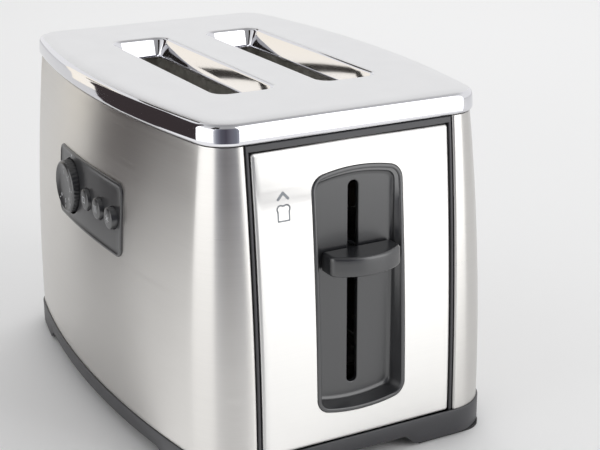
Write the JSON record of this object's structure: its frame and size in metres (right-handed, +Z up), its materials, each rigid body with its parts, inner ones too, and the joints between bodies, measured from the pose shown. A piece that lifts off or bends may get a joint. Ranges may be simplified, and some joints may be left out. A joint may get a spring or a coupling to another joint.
{
  "type": "pop up toaster",
  "caption": "Two-slot pop up toaster with brushed steel shell, polished top, recessed end lever, bread carriage, side dial and buttons, and pull-out crumb tray.",
  "frame": {"origin": "on the surface the toaster stands on, below the middle of the housing", "axes": "+X along the length towards the lever end, -Y towards the long side with the controls, +Z up"},
  "size_m": [0.296, 0.194, 0.1884],
  "materials": {
    "black_plastic": "moulded, fine texture",
    "grey_plastic": "moulded, satin",
    "rubber": "matt",
    "shell_steel": "brushed, clear lacquer",
    "polished_steel": "polished",
    "zinc_steel": "zinc plated",
    "spring_steel": "drawn wire",
    "mica": "mica card",
    "heater_wire": "oxidised resistance ribbon",
    "copper": "enamelled copper winding",
    "cream_plastic": "moulded",
    "circuit_board": "glass-fibre laminate with green resist",
    "component_black": "moulded"
  },
  "bodies": {
    "housing": {"base": "black_plastic", "feet": "black_plastic", "foot_pads": "rubber", "base_screws": "zinc_steel", "side_shell_front": "shell_steel", "side_shell_back": "shell_steel", "top_cover": "polished_steel", "lever_end_frame": "black_plastic", "lever_end_panel": "shell_steel", "lever_bezel": "grey_plastic", "rear_end_frame": "black_plastic", "rear_end_panel": "shell_steel", "cord_gland": "black_plastic", "control_bezel": "grey_plastic", "lever_bulkhead": "zinc_steel", "rear_bulkhead": "zinc_steel", "slot_liner_front": "polished_steel", "slot_liner_back": "polished_steel", "reflector_front": "polished_steel", "reflector_back": "polished_steel", "heater_card_front": "mica", "heater_card_centre": "mica", "heater_card_back": "mica", "heater_winding_front": "heater_wire", "heater_winding_centre": "heater_wire", "heater_winding_back": "heater_wire", "guide_rod": "zinc_steel", "rod_bracket": "zinc_steel", "return_spring": "spring_steel", "latch_magnet": "zinc_steel", "latch_coil": "copper", "power_switch": "cream_plastic", "main_board": "circuit_board", "board_components": "component_black", "terminal_block": "cream_plastic", "board_standoffs": "cream_plastic", "control_board": "circuit_board", "browning_potentiometer": "zinc_steel", "button_switches": "component_black", "crumb_tray_rails": "black_plastic"},
    "carriage": {"carriage_plate": "zinc_steel", "carriage_bush": "cream_plastic", "lever_arm": "zinc_steel", "lever_knob": "grey_plastic", "bread_rack_front": "zinc_steel", "bread_rack_back": "zinc_steel", "latch_armature": "zinc_steel", "switch_actuator": "cream_plastic"},
    "front_outer_guide": {"bread_guide_front_outer": "zinc_steel"},
    "front_inner_guide": {"bread_guide_front_inner": "zinc_steel"},
    "back_inner_guide": {"bread_guide_back_inner": "zinc_steel"},
    "back_outer_guide": {"bread_guide_back_outer": "zinc_steel"},
    "tray": {"crumb_tray": "zinc_steel", "crumb_tray_handle": "black_plastic"},
    "dial": {"browning_dial": "grey_plastic", "dial_shaft": "zinc_steel"},
    "cancel_key": {"cancel_button": "grey_plastic"},
    "reheat_key": {"reheat_button": "grey_plastic"},
    "defrost_key": {"defrost_button": "grey_plastic"}
  },
  "joints": [
    {"name": "carriage_slide", "type": "slide", "parent": "housing", "child": "carriage", "axis": [0, 0, 1], "range_m": [-0.062, 0.03], "stiffness_N_per_m": 250, "springref_m": 0.0035, "deforming": ["return_spring"]},
    {"name": "front_outer_guide_tilt", "type": "hinge", "parent": "housing", "child": "front_outer_guide", "pos_m": [0, -0.0456, 0.03], "axis": [1, 0, 0], "range_deg": [-4.05, 2]},
    {"name": "front_inner_guide_tilt", "type": "hinge", "parent": "housing", "child": "front_inner_guide", "pos_m": [0, -0.0146, 0.03], "axis": [1, 0, 0], "range_deg": [-2, 4.05]},
    {"name": "back_inner_guide_tilt", "type": "hinge", "parent": "housing", "child": "back_inner_guide", "pos_m": [0, 0.0146, 0.03], "axis": [1, 0, 0], "range_deg": [-4.05, 2]},
    {"name": "back_outer_guide_tilt", "type": "hinge", "parent": "housing", "child": "back_outer_guide", "pos_m": [0, 0.0456, 0.03], "axis": [1, 0, 0], "range_deg": [-2, 4.05]},
    {"name": "crumb_tray_slide", "type": "slide", "parent": "housing", "child": "tray", "axis": [-1, 0, 0], "range_m": [0, 0.2]},
    {"name": "browning_dial_turn", "type": "hinge", "parent": "housing", "child": "dial", "pos_m": [-0.026, -0.09, 0.12], "axis": [0, -1, 0], "range_deg": [-135, 135]},
    {"name": "cancel_press", "type": "slide", "parent": "housing", "child": "cancel_key", "axis": [0, 1, 0], "range_m": [0, 0.0025], "stiffness_N_per_m": 400},
    {"name": "reheat_press", "type": "slide", "parent": "housing", "child": "reheat_key", "axis": [0, 1, 0], "range_m": [0, 0.0025], "stiffness_N_per_m": 400},
    {"name": "defrost_press", "type": "slide", "parent": "housing", "child": "defrost_key", "axis": [0, 1, 0], "range_m": [0, 0.0025], "stiffness_N_per_m": 400}
  ],
  "couplings": [
    {"joint": "front_outer_guide_tilt", "follows": "carriage_slide", "rad_per_m": 1.126},
    {"joint": "front_inner_guide_tilt", "follows": "carriage_slide", "rad_per_m": -1.126},
    {"joint": "back_inner_guide_tilt", "follows": "carriage_slide", "rad_per_m": 1.126},
    {"joint": "back_outer_guide_tilt", "follows": "carriage_slide", "rad_per_m": -1.126}
  ]
}
